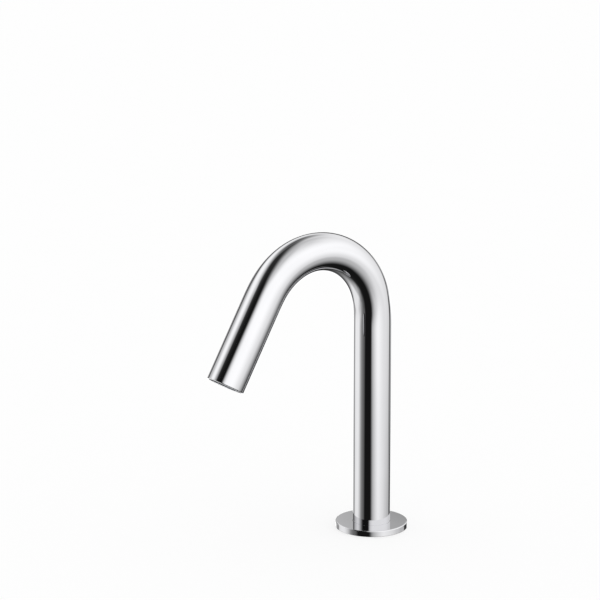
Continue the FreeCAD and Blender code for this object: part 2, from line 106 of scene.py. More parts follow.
# ---- shader helpers
def linear(hex_colour: str) -> tuple[float, float, float, float]:
    """Turns an sRGB hex colour into the linear colour of a shader socket.

    Args:
        hex_colour: a colour such as "#C8A45A".

    Returns:
        Red, green, blue and an alpha of 1.
    """
    shares = [int(hex_colour[i:i + 2], 16) / 255 for i in (1, 3, 5)]
    red, green, blue = (c / 12.92 if c <= 0.04045 else ((c + 0.055) / 1.055) ** 2.4 for c in shares)
    return red, green, blue, 1.0


def add_node(tree: Tree, kind: str, inputs: dict | None = None, **settings: object) -> Node:
    """Adds a node with its settings, socket values and links.

    Args:
        tree: the node tree.
        kind: the node's type, such as "ShaderNodeMath".
        inputs: for a socket's name or number, its value or the socket to link from.
        settings: the node's own properties.

    Returns:
        The new node.
    """
    node = tree.nodes.new(kind)
    for name, value in settings.items():
        setattr(node, name, value)
    feed(node, inputs or {})
    return node


def feed(node: Node, inputs: dict) -> None:
    """Fills a node's sockets.

    Args:
        node: the node.
        inputs: for a socket's name or number, its value or the socket to link from.
    """
    for key, value in inputs.items():
        if isinstance(value, Socket):
            node.id_data.links.new(value, node.inputs[key])
        else:
            node.inputs[key].default_value = value


def grain(
    tree: Tree, where: Socket, size: float, detail: float = 2.0, scale: tuple[float, ...] = (1.0, 1.0, 1.0)
) -> Socket:
    """Noise whose features are of a real size.

    Args:
        tree: the material's nodes.
        where: the point on the object, in metres.
        size: the features' size in millimetres.
        detail: octaves of finer noise.
        scale: how much finer the features are along each axis.

    Returns:
        The noise's value, about 0.5 on average.
    """
    where = add_node(tree, "ShaderNodeMapping", {"Vector": where, "Scale": scale}).outputs["Vector"]
    inputs = {"Vector": where, "Scale": 1 / (size * MM), "Detail": detail}
    return add_node(tree, "ShaderNodeTexNoise", inputs).outputs[0]


def spread(
    tree: Tree, value: Socket, low: float, high: float, start: float = 0.3, stop: float = 0.7
) -> Socket:
    """Maps a value from one range to another, held at the ends.

    Args:
        tree: the material's nodes.
        value: what to map.
        low: result at the start.
        high: result at the stop.
        start: value that gives low.
        stop: value that gives high.

    Returns:
        The mapped value.
    """
    limits = {"Value": value, "From Min": start, "From Max": stop, "To Min": low, "To Max": high}
    return add_node(tree, "ShaderNodeMapRange", limits).outputs["Result"]


def tint(tree: Tree, share: Socket, *ends: str | Socket) -> Socket:
    """Mixes two colours.

    Args:
        tree: the material's nodes.
        share: the second colour's share.
        ends: both colours, each a hex colour or a socket.

    Returns:
        The mixed colour.
    """
    colours = {k: linear(end) if isinstance(end, str) else end for k, end in zip(MIX_COLOURS, ends)}
    return add_node(tree, "ShaderNodeMix", {0: share, **colours}, data_type="RGBA").outputs[MIX_RESULT]


def calculate(tree: Tree, operation: str, *values: object) -> Socket:
    """Result of a Math node on sockets or numbers."""
    return add_node(tree, "ShaderNodeMath", dict(enumerate(values)), operation=operation).outputs[0]


def relief(tree: Tree, shader: Node, height: Socket, depth: float) -> None:
    """Gives a surface a bump of a real depth.

    Args:
        tree: the material's nodes.
        shader: its Principled BSDF.
        height: a value from 0 to 1.
        depth: millimetres between 0 and 1.
    """
    bump = add_node(tree, "ShaderNodeBump", {"Height": height, "Distance": depth * MM, "Strength": 1.0})
    feed(shader, {"Normal": bump.outputs["Normal"]})


# ---- mesh helpers
def quads(rows: int, columns: int, closed_rows: bool = True, closed_columns: bool = True) -> np.ndarray:
    """Vertex numbers of the quads of a grid.

    Args:
        rows: rows of the grid.
        columns: columns of the grid.
        closed_rows: whether the last row is joined to the first.
        closed_columns: whether the last column is joined to the first.

    Returns:
        Rows x columns x 4 numbers; the quad at (i, j) spans rows i and i + 1 and columns j and j + 1.
    """
    here = np.arange(rows * columns).reshape(rows, columns)
    right = np.roll(here, -1, axis=1)
    cells = np.stack([here, right, np.roll(right, -1, axis=0), np.roll(here, -1, axis=0)], axis=-1)
    return cells[: rows if closed_rows else rows - 1, : columns if closed_columns else columns - 1]


def make_piece(name: str, points: np.ndarray, cells: np.ndarray) -> Thing:
    """Makes a closed, outward-facing, smooth-shaded object at the origin.

    Points that coincide are merged, so a row that has shrunk to a point becomes a closed pole.

    Args:
        name: the object's name.
        points: coordinates in millimetres, their last axis of 3.
        cells: vertex numbers, their last axis of 4.

    Returns:
        The object, linked to the scene.
    """
    mesh = bpy.data.meshes.new(name)
    mesh.from_pydata((points.reshape(-1, 3) * MM).tolist(), [], cells.reshape(-1, 4).tolist())
    shape = bmesh.new()
    shape.from_mesh(mesh)
    bmesh.ops.remove_doubles(shape, verts=shape.verts, dist=MERGE * MM)
    bmesh.ops.delete(shape, geom=[edge for edge in shape.edges if not edge.link_faces], context="EDGES")
    bmesh.ops.delete(shape, geom=[vert for vert in shape.verts if not vert.link_edges], context="VERTS")
    bmesh.ops.recalc_face_normals(shape, faces=shape.faces)
    if shape.calc_volume(signed=True) < 0:
        bmesh.ops.reverse_faces(shape, faces=shape.faces)
    open_edges = sum(not edge.is_manifold for edge in shape.edges)
    shape.to_mesh(mesh)
    shape.free()
    mesh.shade_smooth()
    mesh.set_sharp_from_angle(angle=math.radians(SHARP_FROM))
    piece = bpy.data.objects.new(name, mesh)
    bpy.context.scene.collection.objects.link(piece)
    LOG.info("%s: %d faces, %d open edges", name, len(mesh.polygons), open_edges)
    return piece


def outline(corners: list[tuple[float, ...]], closed: bool = True) -> np.ndarray:
    """Outline whose corners are arcs, with guard points beside the ends of its longer sides.

    An arc of radius q at a corner of half-angle h has its centre q / sin(h) from the corner, along the
    bisector, and runs between the two points that lie q / tan(h) from the corner. The guard points keep the
    shading of a flat side flat right up to its rounded edge.

    Args:
        corners: (radius from the axis, height) or (radius, height, radius of the corner's arc).
        closed: whether the last corner is joined to the first.

    Returns:
        n x 2 points (radius, height).
    """
    ends = np.array([corner[:2] for corner in corners], float)
    arcs = []
    for i, corner in enumerate(corners):
        if len(corner) < 3:
            arcs.append(ends[i][None])
            continue
        back, on = ends[i - 1] - ends[i], ends[(i + 1) % len(ends)] - ends[i]
        back, on = back / np.linalg.norm(back), on / np.linalg.norm(on)
        half = math.acos(np.clip(back @ on, -1, 1)) / 2
        centre = ends[i] + (back + on) / np.linalg.norm(back + on) * corner[2] / math.sin(half)
        start, stop = (ends[i] + side * corner[2] / math.tan(half) - centre for side in (back, on))
        sweep = math.pi - 2 * half
        share = np.linspace(0, 1, ARC_STEPS + 1)[:, None]
        swung = np.sin((1 - share) * sweep) * start + np.sin(share * sweep) * stop
        arcs.append(centre + swung / math.sin(sweep))
    line = np.vstack(arcs)
    onward = np.roll(line, -1, axis=0) - line
    if not closed:
        onward[-1] = 0
    reach = np.linalg.norm(onward, axis=1)
    is_long = reach > GUARDED_FROM
    inward = onward[is_long] * (GUARD / reach[is_long])[:, None]
    after = line[is_long] + inward
    before = line[is_long] + onward[is_long] - inward
    index = np.flatnonzero(is_long) + 1
    return np.insert(line, np.repeat(index, 2), np.stack([after, before], axis=1).reshape(-1, 2), axis=0)


@dataclass(frozen=True)
class Place:
    """A point with its own upright axis, turned about X."""

    origin: tuple[float, float, float] = (0.0, 0.0, 0.0)
    tilt: float = 0.0  # degrees about X

    def placed(self, x: np.ndarray, y: np.ndarray, z: np.ndarray) -> np.ndarray:
        """Coordinates of this place as points of the tap's frame."""
        cos, sin = math.cos(math.radians(self.tilt)), math.sin(math.radians(self.tilt))
        x, y, z = np.broadcast_arrays(x, y, z)
        return np.stack([x, y * cos - z * sin, y * sin + z * cos], axis=-1) + np.array(self.origin)

    def moved(self, y: float = 0.0, z: float = 0.0, turn: float = 0.0) -> Place:
        """A place at a point of this one, turned further about X."""
        origin = self.placed(0.0, y, z)
        return Place(tuple(float(c) for c in origin), self.tilt + turn)


DECK = Place()


def turned(
    name: str, profile: np.ndarray, place: Place = DECK, columns: int = 144, solid: bool = False
) -> Thing:
    """Outline turned round a place's upright axis: x = radius cos(turn), y = radius sin(turn), z = height.

    Args:
        name: the object's name.
        profile: n x 2 points (radius, height), or n x 2 x columns where the outline changes round the axis.
        place: the place whose axis it is.
        columns: segments round the axis.
        solid: whether the outline starts and ends on the axis.

    Returns:
        The object.
    """
    if profile.ndim == 2:
        profile = np.repeat(profile[:, :, None], columns, axis=2)
    radius, height = profile[:, 0], profile[:, 1]
    turn = np.arange(radius.shape[1]) * FULL_TURN / radius.shape[1]
    points = place.placed(radius * np.cos(turn), radius * np.sin(turn), height)
    return make_piece(name, points, quads(*radius.shape, closed_rows=not solid))


def hexagon_radius(turn: np.ndarray, across_flats: float, round_off: float = 0.0) -> np.ndarray:
    """Distance from a hexagon's middle to its side: half the width / cos(turn from the side's middle).

    Args:
        turn: angles in radians, counted from a corner.
        across_flats: the hexagon's width.
        round_off: how far a circle cuts the corners back.

    Returns:
        The distances.
    """
    side = across_flats / 2 / np.cos(turn % (FULL_TURN / 6) - FULL_TURN / 12)
    return np.minimum(side, across_flats / math.sqrt(3) - round_off)


# ---- finishes
@dataclass(frozen=True)
class Finish:
    """A material, named for what the surface is and how it was made."""

    name: str
    colour: str

    def material(self) -> bpy.types.Material:
        """Makes the material."""
        made = bpy.data.materials.new(self.name)
        made.use_nodes = True
        tree = made.node_tree
        shader = tree.nodes["Principled BSDF"]
        shader.inputs["Base Color"].default_value = linear(self.colour)
        where = add_node(tree, "ShaderNodeTexCoord").outputs["Object"]
        self.dress(tree, shader, where)
        return made

    def dress(self, tree: Tree, shader: Node, where: Socket) -> None:
        """Adds the surface's own nodes.

        Args:
            tree: the material's nodes.
            shader: its Principled BSDF.
            where: the point on the object, in metres.
        """
        raise NotImplementedError


@dataclass(frozen=True)
class PlatedChrome(Finish):
    """Bright chromium on polished, nickel-plated brass: a near-perfect mirror with a trace of polishing."""

    shade: str = "#D7D7D9"  # where the plate is a little thinner
    polish: float = 0.012  # roughness
    wiped: float = 0.03  # roughness where cloths have rubbed it
    swell: float = 26.0  # mm between the soft waves that the polishing belt leaves
    swell_depth: float = 0.004
    wipe: float = 2.4  # mm between wiping marks
    wipe_run: float = 4.0  # how much closer the marks lie up the tube than round it

    def dress(self, tree: Tree, shader: Node, where: Socket) -> None:
        """Soft waves in the mirror, wiping marks round the tube and a hardly visible change of tone."""
        waves = grain(tree, where, self.swell, detail=1.0)
        wiping = grain(tree, where, self.wipe, detail=3.0, scale=(1.0, 1.0, self.wipe_run))
        tone = tint(tree, spread(tree, waves, 0.0, 1.0), self.colour, self.shade)
        rough = spread(tree, wiping, self.polish, self.wiped)
        feed(shader, {"Base Color": tone, "Roughness": rough, "Metallic": 1.0})
        relief(tree, shader, waves, self.swell_depth)


@dataclass(frozen=True)
class TurnedMetal(Finish):
    """Metal left as the lathe or the press made it: fine rings round its axis, dulled in patches."""

    tarnish: str = "#8C6A3A"
    polish: float = 0.24
    worn: float = 0.42
    ring_pitch: float = 0.7  # mm; real feed marks are 0.1 mm, too fine to show
    ring_depth: float = 0.012
    ring_roughness: float = 0.05  # added on a ring's crest
    wander: float = 0.4  # mm that a ring strays from its place
    wander_size: float = 2.5  # mm between its bends
    patch: float = 6.0  # mm across a patch of tarnish
    tarnished: float = 0.55  # share of the tarnish's colour in a patch

    def dress(self, tree: Tree, shader: Node, where: Socket) -> None:
        """Rings by height and by distance from the axis, and patches of tarnish."""
        parts = add_node(tree, "ShaderNodeSeparateXYZ", {"Vector": where}).outputs
        flat = add_node(tree, "ShaderNodeMapping", {"Vector": where, "Scale": (1.0, 1.0, 0.0)}).outputs[0]
        radius = add_node(tree, "ShaderNodeVectorMath", {0: flat}, operation="LENGTH").outputs["Value"]
        travel = calculate(tree, "ADD", parts["Z"], radius)
        jitter = calculate(tree, "MULTIPLY", grain(tree, where, self.wander_size), self.wander * MM)
        strayed = calculate(tree, "ADD", travel, jitter)
        phase = calculate(tree, "MULTIPLY", strayed, FULL_TURN / (self.ring_pitch * MM))
        rings = calculate(tree, "MULTIPLY_ADD", calculate(tree, "SINE", phase), 0.5, 0.5)
        patches = grain(tree, where, self.patch, detail=4.0)
        tone = tint(tree, spread(tree, patches, 0.0, self.tarnished, 0.45, 0.8), self.colour, self.tarnish)
        worn = spread(tree, patches, self.polish, self.worn)
        rough = calculate(tree, "MULTIPLY_ADD", rings, self.ring_roughness, worn)
        feed(shader, {"Base Color": tone, "Roughness": rough, "Metallic": 1.0})
        relief(tree, shader, rings, self.ring_depth)


@dataclass(frozen=True)
class Moulded(Finish):
    """Plastic or rubber from a spark-eroded mould: a fine even grain, and rubbed spots that are smoother."""

    rubbed: str
    grain_size: float = 0.5  # mm; the real grain is a tenth of that, too fine to show
    grain_depth: float = 0.012
    grain_roughness: float = 0.08  # added on a grain's top
    patch: float = 7.0  # mm across a rubbed spot
    matt: float = 0.58
    smooth: float = 0.42  # roughness of a rubbed spot
    ior: float = 1.48

    def dress(self, tree: Tree, shader: Node, where: Socket) -> None:
        """Grain, and patches where handling has polished it."""
        fine = grain(tree, where, self.grain_size, detail=3.0)
        patches = grain(tree, where, self.patch, detail=3.0)
        tone = tint(tree, spread(tree, patches, 0.0, 1.0, 0.35, 0.7), self.colour, self.rubbed)
        worn = spread(tree, patches, self.matt, self.smooth)
        rough = calculate(tree, "MULTIPLY_ADD", fine, self.grain_roughness, worn)
        feed(shader, {"Base Color": tone, "Roughness": rough, "IOR": self.ior})
        relief(tree, shader, fine, self.grain_depth)


@dataclass(frozen=True)
class Polished(Finish):
    """Plastic from a mirror-polished mould, as a lens is: a deep gloss, slow flow waves and a little dust."""

    dust: str
    dust_size: float = 0.35  # mm; real dust is finer, too fine to show
    dust_roughness: float = 0.3  # added on a speck
    gloss: float = 0.05
    dulled: float = 0.16
    wave: float = 5.0  # mm between flow waves
    wave_depth: float = 0.004
    ior: float = 1.585
    coat: float = 0.0

    def dress(self, tree: Tree, shader: Node, where: Socket) -> None:
        """Flow waves, and specks of dust that are paler and duller."""
        waves = grain(tree, where, self.wave, detail=1.0)
        specks = spread(tree, grain(tree, where, self.dust_size), 0.0, 1.0, 0.68, 0.78)
        tone = tint(tree, specks, self.colour, self.dust)
        smooth = spread(tree, waves, self.gloss, self.dulled)
        rough = calculate(tree, "MULTIPLY_ADD", specks, self.dust_roughness, smooth)
        feed(shader, {"Base Color": tone, "Roughness": rough, "IOR": self.ior, "Coat Weight": self.coat})
        relief(tree, shader, waves, self.wave_depth)


@dataclass(frozen=True)
class SolderMask(Finish):
    """Circuit board: a green lacquer over copper tracks, with bare tinned pads."""

    track: str = "#2F7A48"
    pad: str = "#C9C9BE"
    pitch: float = 1.27  # mm between tracks; the pads lie at twice that
    track_share: float = 0.16  # half a track's width in pitches
    pad_share: tuple[float, float] = (0.3, 0.1)  # half a pad's width and length, in steps across and along
    roughness: tuple[float, float] = (0.32, 0.5)  # of the lacquer and the tin
    thickness: float = 0.03  # mm of copper

    def dress(self, tree: Tree, shader: Node, where: Socket) -> None:
        """Tracks along the board, and rows of pads across them."""
        place = {
            "Vector": where,
            "Location": tuple(c * MM for c in MOUTH.origin),
            "Rotation": (math.radians(MOUTH.tilt), 0.0, 0.0),
        }
        own = add_node(tree, "ShaderNodeMapping", place, vector_type="TEXTURE").outputs["Vector"]
        parts = add_node(tree, "ShaderNodeSeparateXYZ", {"Vector": own}).outputs
        from_middle = []
        for part, step in ((parts["X"], self.pitch * MM), (parts["Z"], 2 * self.pitch * MM)):
            share = calculate(tree, "FRACT", calculate(tree, "DIVIDE", part, step))
            from_middle.append(calculate(tree, "ABSOLUTE", calculate(tree, "SUBTRACT", share, 0.5)))
        is_track = calculate(tree, "LESS_THAN", from_middle[0], self.track_share)
        inside = (calculate(tree, "LESS_THAN", *pair) for pair in zip(from_middle, self.pad_share))
        is_pad = calculate(tree, "MULTIPLY", *inside)
        tone = tint(tree, is_pad, tint(tree, is_track, self.colour, self.track), self.pad)
        feed(shader, {"Base Color": tone, "Roughness": spread(tree, is_pad, *self.roughness, 0.0, 1.0)})
        relief(tree, shader, calculate(tree, "MAXIMUM", is_track, is_pad), self.thickness)


FINISHES: dict[Slot, Finish] = {
    Slot.CHROME: PlatedChrome("bright_chrome_plate", "#DADADC"),
    Slot.BRASS: TurnedMetal("turned_brass", "#D9B873"),
    Slot.STEEL: TurnedMetal(
        "stamped_stainless_steel", "#C9C8C5", "#9A9894",
        polish=0.3, worn=0.45, ring_pitch=1.1, ring_depth=0.006,
    ),
    Slot.RUBBER: Moulded("moulded_black_rubber", "#2A2A2C", "#3F3F41", matt=0.72, smooth=0.6, ior=1.52),
    Slot.DARK_PLASTIC: Moulded("moulded_black_acetal", "#3A3B3D", "#4B4D50"),
    Slot.GREY_PLASTIC: Moulded("moulded_grey_acetal", "#B5B8BC", "#C3C6C9", grain_depth=0.008),
    Slot.HOSE: Moulded("extruded_white_hose", "#E6E7E4", "#EFEFEC", matt=0.5, smooth=0.38, ior=1.51),
    Slot.CABLE: Moulded("extruded_black_jacket", "#323234", "#47474A", matt=0.5, smooth=0.4, ior=1.53),
    Slot.WINDOW: Polished("smoked_polycarbonate", "#1A0F12", "#4A4648", coat=0.3),
    Slot.BOARD: SolderMask("solder_masked_board", "#1E5E36"),
    Slot.EPOXY: Polished("moulded_black_epoxy", "#2C2C30", "#55565A", gloss=0.24, dulled=0.36, ior=1.52),
}


@dataclass
class Wardrobe:
    """The finishes, each made into one material the first time that a piece wears it."""

    worn: dict[Slot, bpy.types.Material] = field(default_factory=dict)

    def dress(self, piece: Thing, slot: Slot) -> None:
        """Gives a piece its finish in place of any that it has.

        Args:
            piece: the object.
            slot: the record's slot.
        """
        if slot not in self.worn:
            self.worn[slot] = FINISHES[slot].material()
        piece.data.materials.clear()
        piece.data.materials.append(self.worn[slot])

    def stand_in(self, piece: Thing, node: str, body: Body, slot: Slot) -> None:
        """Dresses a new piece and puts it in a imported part's stead.

        Args:
            piece: the new object.
            node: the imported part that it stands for.
            body: the body that it moves with.
            slot: the record's slot for its finish.
        """
        self.dress(piece, slot)
        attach(piece, body.value)
        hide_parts(node)


# ---- the neck
@dataclass(frozen=True)
class Neck:
    """The bent tube: up the column, round the bend in the YZ plane and down the spout."""

    radius: float = 12.5
    bore: float = 11.3
    foot: float = 1.5
    bend_height: float = 146.0
    bend_radius: float = 47.0
    bend_sweep: float = 150.0  # degrees
    ease: float = 16.0  # length over which the bend's curvature sets in, as on a real bent tube
    spout: float = 62.0
    mouth_round: float = 0.5
    bore_round: float = 0.1
    hole_radius: float = 1.55
    hole_height: float = 15.95  # of the grub screw's hole, from the mouth
    columns: int = 160
    column_rows: int = 35
    bend_rows: int = 160
    spout_rows: tuple[int, int] = (9, 5)  # between the bend and the screw's hole, and from there to the mouth
    hole_cells: int = 3  # cells between the hole's middle and its edge
    blend_cells: int = 8  # cells between the hole's middle and the undisturbed grid
    hole_side: float = 0.75  # of a turn from +X, which is the side that faces the column
    samples: int = 6001  # of the middle line

    @property
    def leg(self) -> float:
        """Length of the column's part."""
        return self.bend_height - self.foot

    @property
    def eased_radius(self) -> float:
        """Radius that keeps the straight parts in place: a ramp of length e shifts it by e^2 / 24 radii."""
        return self.bend_radius - self.ease**2 / (24 * self.bend_radius)

    @property
    def arc(self) -> float:
        """Length of the bend's middle line, from the middle of one ramp to the middle of the other."""
        return self.eased_radius * math.radians(self.bend_sweep)

    @property
    def total(self) -> float:
        """Length of the whole middle line."""
        return self.leg + self.arc + self.spout

    @property
    def mouth(self) -> Place:
        """The spout's end, from the bend's centre: Z runs back up the spout, Y to the column's side."""
        centre = Place((0.0, -self.bend_radius, self.bend_height), self.bend_sweep)
        return centre.moved(y=self.bend_radius, z=self.spout, turn=-180.0)

    def path(self, distance: np.ndarray) -> tuple[np.ndarray, np.ndarray, np.ndarray]:
        """Middle line: the angle is the curvature's integral, and the point that of the angle's (-sin, cos).

        The curvature rises evenly from 0 to 1 / eased radius over the ease, stays, and falls again.

        Args:
            distance: distances along the line from its foot.

        Returns:
            The angles from upright in radians, and the points' y and z.
        """
        steps, step = np.linspace(0, self.total, self.samples, retstep=True)
        angle = 0.0
        for sign, start in ((1, self.leg), (-1, self.leg + self.arc)):
            share = np.clip((steps - start) / self.ease + 0.5, 0, 1)
            gone = np.maximum(steps - start - self.ease / 2, 0) + self.ease * share**2 / 2
            angle = angle + sign * gone / self.eased_radius
        y, z = (
            np.concatenate([[0.0], np.cumsum((slope[1:] + slope[:-1]) / 2)]) * step
            for slope in (-np.sin(angle), np.cos(angle))
        )
        return tuple(np.interp(distance, steps, column) for column in (angle, y, z + self.foot))

    def rows(self) -> np.ndarray:
        """Distances along the middle line of the outside's rows, short of the mouth's rounded edge."""
        hole = self.total - self.hole_height
        cell = self.hole_radius / self.hole_cells
        near = self.blend_cells * cell
        start, stop = self.leg - self.ease, self.leg + self.arc + self.ease
        before, after = self.spout_rows
        return np.concatenate([
            np.linspace(0, start, self.column_rows, endpoint=False),
            np.linspace(start, stop, self.bend_rows, endpoint=False),
            np.linspace(stop, hole - near, before, endpoint=False),
            hole + np.arange(-self.blend_cells, self.blend_cells + 1) * cell,
            np.linspace(hole + near, self.total - self.mouth_round - GUARD, after + 1)[1:],
        ])

    def build(self) -> Thing:
        """Carries a closed profile of (distance, radius) rows along the middle line.

        Round the middle line at the angle t from upright, point = middle + radius (cos turn along X + sin
        turn along (cos t, sin t) in (y, z)). Near the grub screw's hole, a grid point p in cells moves to
        p x (largest coordinate of p / length of p), which makes circles of squares, and that fades out with
        distance. The hole's cells are then left out, and its two edges are joined.

        Returns:
            The object.
        """
        outside = self.rows()
        mouth = outline([
            (self.radius, 0.0), (self.radius, self.total, self.mouth_round),
            (self.bore, self.total, self.bore_round), (self.bore, 0.0),
        ], closed=False)
        mouth = mouth[mouth[:, 1] > outside[-1] + MERGE]
        distance = np.concatenate([outside, mouth[:, 1], outside[::-1]])[:, None]
        wall = np.ones(len(outside))
        radius = np.concatenate([self.radius * wall, mouth[:, 0], self.bore * wall])[:, None]

        # The grid near the hole, in cells from its middle.
        across = np.arange(self.columns) - round(self.columns * self.hole_side)
        cell = self.hole_radius / self.hole_cells
        along = (distance - (self.total - self.hole_height)) / cell
        reach = np.maximum(np.abs(along), np.abs(across))
        squeeze = reach / np.maximum(np.hypot(along, across), 1e-9)
        fade = np.clip((self.blend_cells - reach) / (self.blend_cells - self.hole_cells), 0, 1)
        fade = fade * fade * (3 - 2 * fade)
        hole_turn = np.arcsin(np.clip(across * squeeze * cell / radius, -1, 1))
        grid_turn = across * FULL_TURN / self.columns
        turn = self.hole_side * FULL_TURN + fade * hole_turn + (1 - fade) * grid_turn
        distance = distance + fade * (squeeze - 1) * along * cell

        bend, middle_y, middle_z = self.path(distance)
        lift = radius * np.sin(turn)
        y, z = middle_y + lift * np.cos(bend), middle_z + lift * np.sin(bend)
        points = DECK.placed(radius * np.cos(turn), y, z)

        in_hole = reach < self.hole_cells + 0.5
        cells = quads(*in_hole.shape).reshape(-1, 4)
        cells = cells[~in_hole.reshape(-1)[cells].all(axis=1)]
        number = np.arange(in_hole.size).reshape(in_hole.shape)
        size = 2 * self.hole_cells + 1
        outer, inner = number[in_hole].reshape(2, size, size)
        edge = np.concatenate([
            np.arange(size - 1), np.arange(1, size) * size - 1,
            size * size - 1 - np.arange(size - 1), np.arange(size - 1, 0, -1) * size,
        ])
        outer, inner = outer.reshape(-1)[edge], inner[::-1].reshape(-1)[edge]
        bridge = np.stack([outer, np.roll(outer, -1), np.roll(inner, -1), inner], axis=-1)
        return make_piece("chrome_neck", points, np.vstack([cells, bridge]))


MOUTH = Neck().mouth


# ---- the base
@dataclass(frozen=True)
class Base:
    """The cover flange and the gasket that seals it to the deck."""

    flange: tuple[tuple[float, ...], ...] = (
        (11.15, 1.5), (11.15, 0.3), (15.9, 0.3), (15.9, 1.2), (21.6, 1.2), (21.6, 0.3), (24.0, 0.3, 0.15),
        (24.0, 4.3, 0.5), (12.55, 4.3, 0.1), (12.55, 1.5),
    )
    gasket: tuple[tuple[float, ...], ...] = (
        (16.0, 0.0, 0.2), (21.5, 0.0, 0.2), (21.5, 1.2, 0.2), (16.0, 1.2, 0.2),
    )

    def build(self, wardrobe: Wardrobe) -> None:
        """Turns both from their outlines."""
        flange = turned("chrome_flange", outline(list(self.flange)), columns=240)
        wardrobe.stand_in(flange, "base_flange", Body.TAP, Slot.CHROME)
        gasket = turned("gasket_ring", outline(list(self.gasket)))
        wardrobe.stand_in(gasket, "base_gasket", Body.TAP, Slot.RUBBER)


# ---- the clamp under the deck
@dataclass(frozen=True)
class Clamp:
    """The threaded shank, its washers and nut, and the fittings in its end."""

    bore: float = 8.5
    spigot: float = 11.25
    spigot_foot: float = 1.5
    spigot_top: float = 17.5
    spigot_round: float = 0.2
    crest: float = 11.0
    pitch: float = 1.5
    thread_depth: float = 0.92  # 0.6134 of the pitch, as on a metric thread
    foot: float = -52.0
    thread_top: float = -1.5
    chamfer: float = 0.8
    bore_round: float = 0.3
    thread_corners: tuple[float, ...] = (0.0, 0.125, 0.4375, 0.6875)  # crest, its end, root, its end
    nut_flats: float = 30.0
    nut_corner: float = 0.15  # turned off each corner
    nut_bore: float = 11.05
    nut_sink: float = 0.7  # chamfer of its bore
    nut_foot: float = -33.0
    nut_top: float = -25.0
    nut_chamfer: float = 1.0
    washer_split: float = -23.0  # where the steel washer meets the rubber one
    washer_top: float = -20.0
    washer_bore: float = 11.5
    washer_radius: float = 22.0
    soft_edge: float = 0.5
    burr_edge: float = 0.15  # where the punch came out
    nipple_y: float = -3.98
    nipple_outline: tuple[tuple[float, ...], ...] = (
        (1.8, -73.0, 0.15), (3.4, -73.0), (4.0, -72.4, 0.3), (4.0, -66.0), (3.8, -65.8), (3.8, -65.2),
        (4.0, -65.0), (4.0, -55.0), (3.6, -55.0), (3.6, -42.0), (2.45, -42.0), (2.45, -30.0, 0.2),
        (1.8, -30.0, 0.2),
    )
    gland_y: float = 6.08
    gland_bore: float = 1.32
    gland_radius: float = 1.92
    gland_groove: float = 1.62  # radius at a groove's floor
    gland_foot: float = -59.0
    gland_grooves: tuple[float, ...] = (-58.3, -57.0)  # lower edges of the grooves
    gland_collar: tuple[float, float] = (-55.8, -55.0)
    collar_radius: float = 2.62
    gland_top: float = -41.2

    def shank(self) -> Thing:
        """Hollow stud with a right-hand thread, and the plain spigot that is brazed into the tube.

        Height of a thread row = foot + (turn's share + row's place in the pitch + whole pitches) x pitch,
        held between the thread's ends. Its radius follows the trapezoid of a metric thread at that height, is
        cut back to the chamfer near the foot and runs out at the top. The last column ends one pitch above
        the first, where the next rows of the first begin, so the two are merged.

        Returns:
            The object.
        """
        columns = 145
        turn = np.linspace(0, FULL_TURN, columns)
        knots = np.array(self.thread_corners)
        count = math.ceil((self.thread_top - self.foot) / self.pitch) + 1
        place = (np.arange(-1, count)[:, None] + knots).reshape(-1, 1)
        height = np.clip(self.foot + (place + turn / FULL_TURN) * self.pitch, self.foot, self.thread_top)
        phase = ((height - self.foot) / self.pitch - turn / FULL_TURN) % 1.0
        root = self.crest - self.thread_depth
        radius = np.interp(phase, [*knots, 1.0], [self.crest, self.crest, root, root, self.crest])
        radius = np.minimum(radius, self.crest - self.chamfer + height - self.foot)
        run_out = np.clip(1 - (self.thread_top - height) / self.pitch, 0, 1)
        radius = radius + (self.crest - radius) * run_out
        rest = outline([
            (self.crest, self.thread_top), (self.crest, self.spigot_foot), (self.spigot, self.spigot_foot),
            (self.spigot, self.spigot_top, self.spigot_round),
            (self.bore, self.spigot_top, self.spigot_round), (self.bore, self.foot, self.bore_round),
        ])[1:]
        plain = np.broadcast_to(rest[:, :, None], (*rest.shape, columns))
        radius = np.concatenate([radius, plain[:, 0]])
        height = np.concatenate([height, plain[:, 1]])
        points = DECK.placed(radius * np.cos(turn), radius * np.sin(turn), height)
        return make_piece("threaded_shank", points, quads(*radius.shape, closed_columns=False))

    def nut(self) -> Thing:
        """Hexagon nut: its side is the hexagon's radius, cut by a cone of slope 2 at both rims.

        The cone meets the side at (hexagon's radius - face's radius) / 2 from the face, where that is over 0.

        Returns:
            The object.
        """
        columns = 216
        turn = np.arange(columns) * FULL_TURN / columns
        side = hexagon_radius(turn, self.nut_flats, round_off=self.nut_corner)
        face = self.nut_flats / math.sqrt(3) - 2 * self.nut_chamfer
        drop = np.maximum(side - face, 0) / 2
        rim = np.minimum(side, face)
        low, high = np.full(columns, self.nut_foot), np.full(columns, self.nut_top)
        bore, sink = np.full(columns, self.nut_bore), self.nut_sink
        sunk = bore + sink
        rows = [
            (bore, low + sink), (sunk, low), (sunk + GUARD, low), (rim - GUARD, low), (rim, low),
            (side, low + drop), (side, low + drop + GUARD), (side, high - drop - GUARD), (side, high - drop),
            (rim, high), (rim - GUARD, high), (sunk + GUARD, high), (sunk, high), (bore, high - sink),
        ]
        return turned("hexagon_nut", np.array(rows))

    def washer(self, name: str, low: float, high: float, edges: tuple[float, float]) -> Thing:
        """Flat ring with rounded edges, as a punch leaves them.

        Args:
            name: the object's name.
            low: its lower face.
            high: its upper face.
            edges: radii of the lower and the upper edges.

        Returns:
            The object.
        """
        corners = [
            (self.washer_bore, low, edges[0]), (self.washer_radius, low, edges[0]),
            (self.washer_radius, high, edges[1]), (self.washer_bore, high, edges[1]),
        ]
        return turned(name, outline(corners), columns=180)

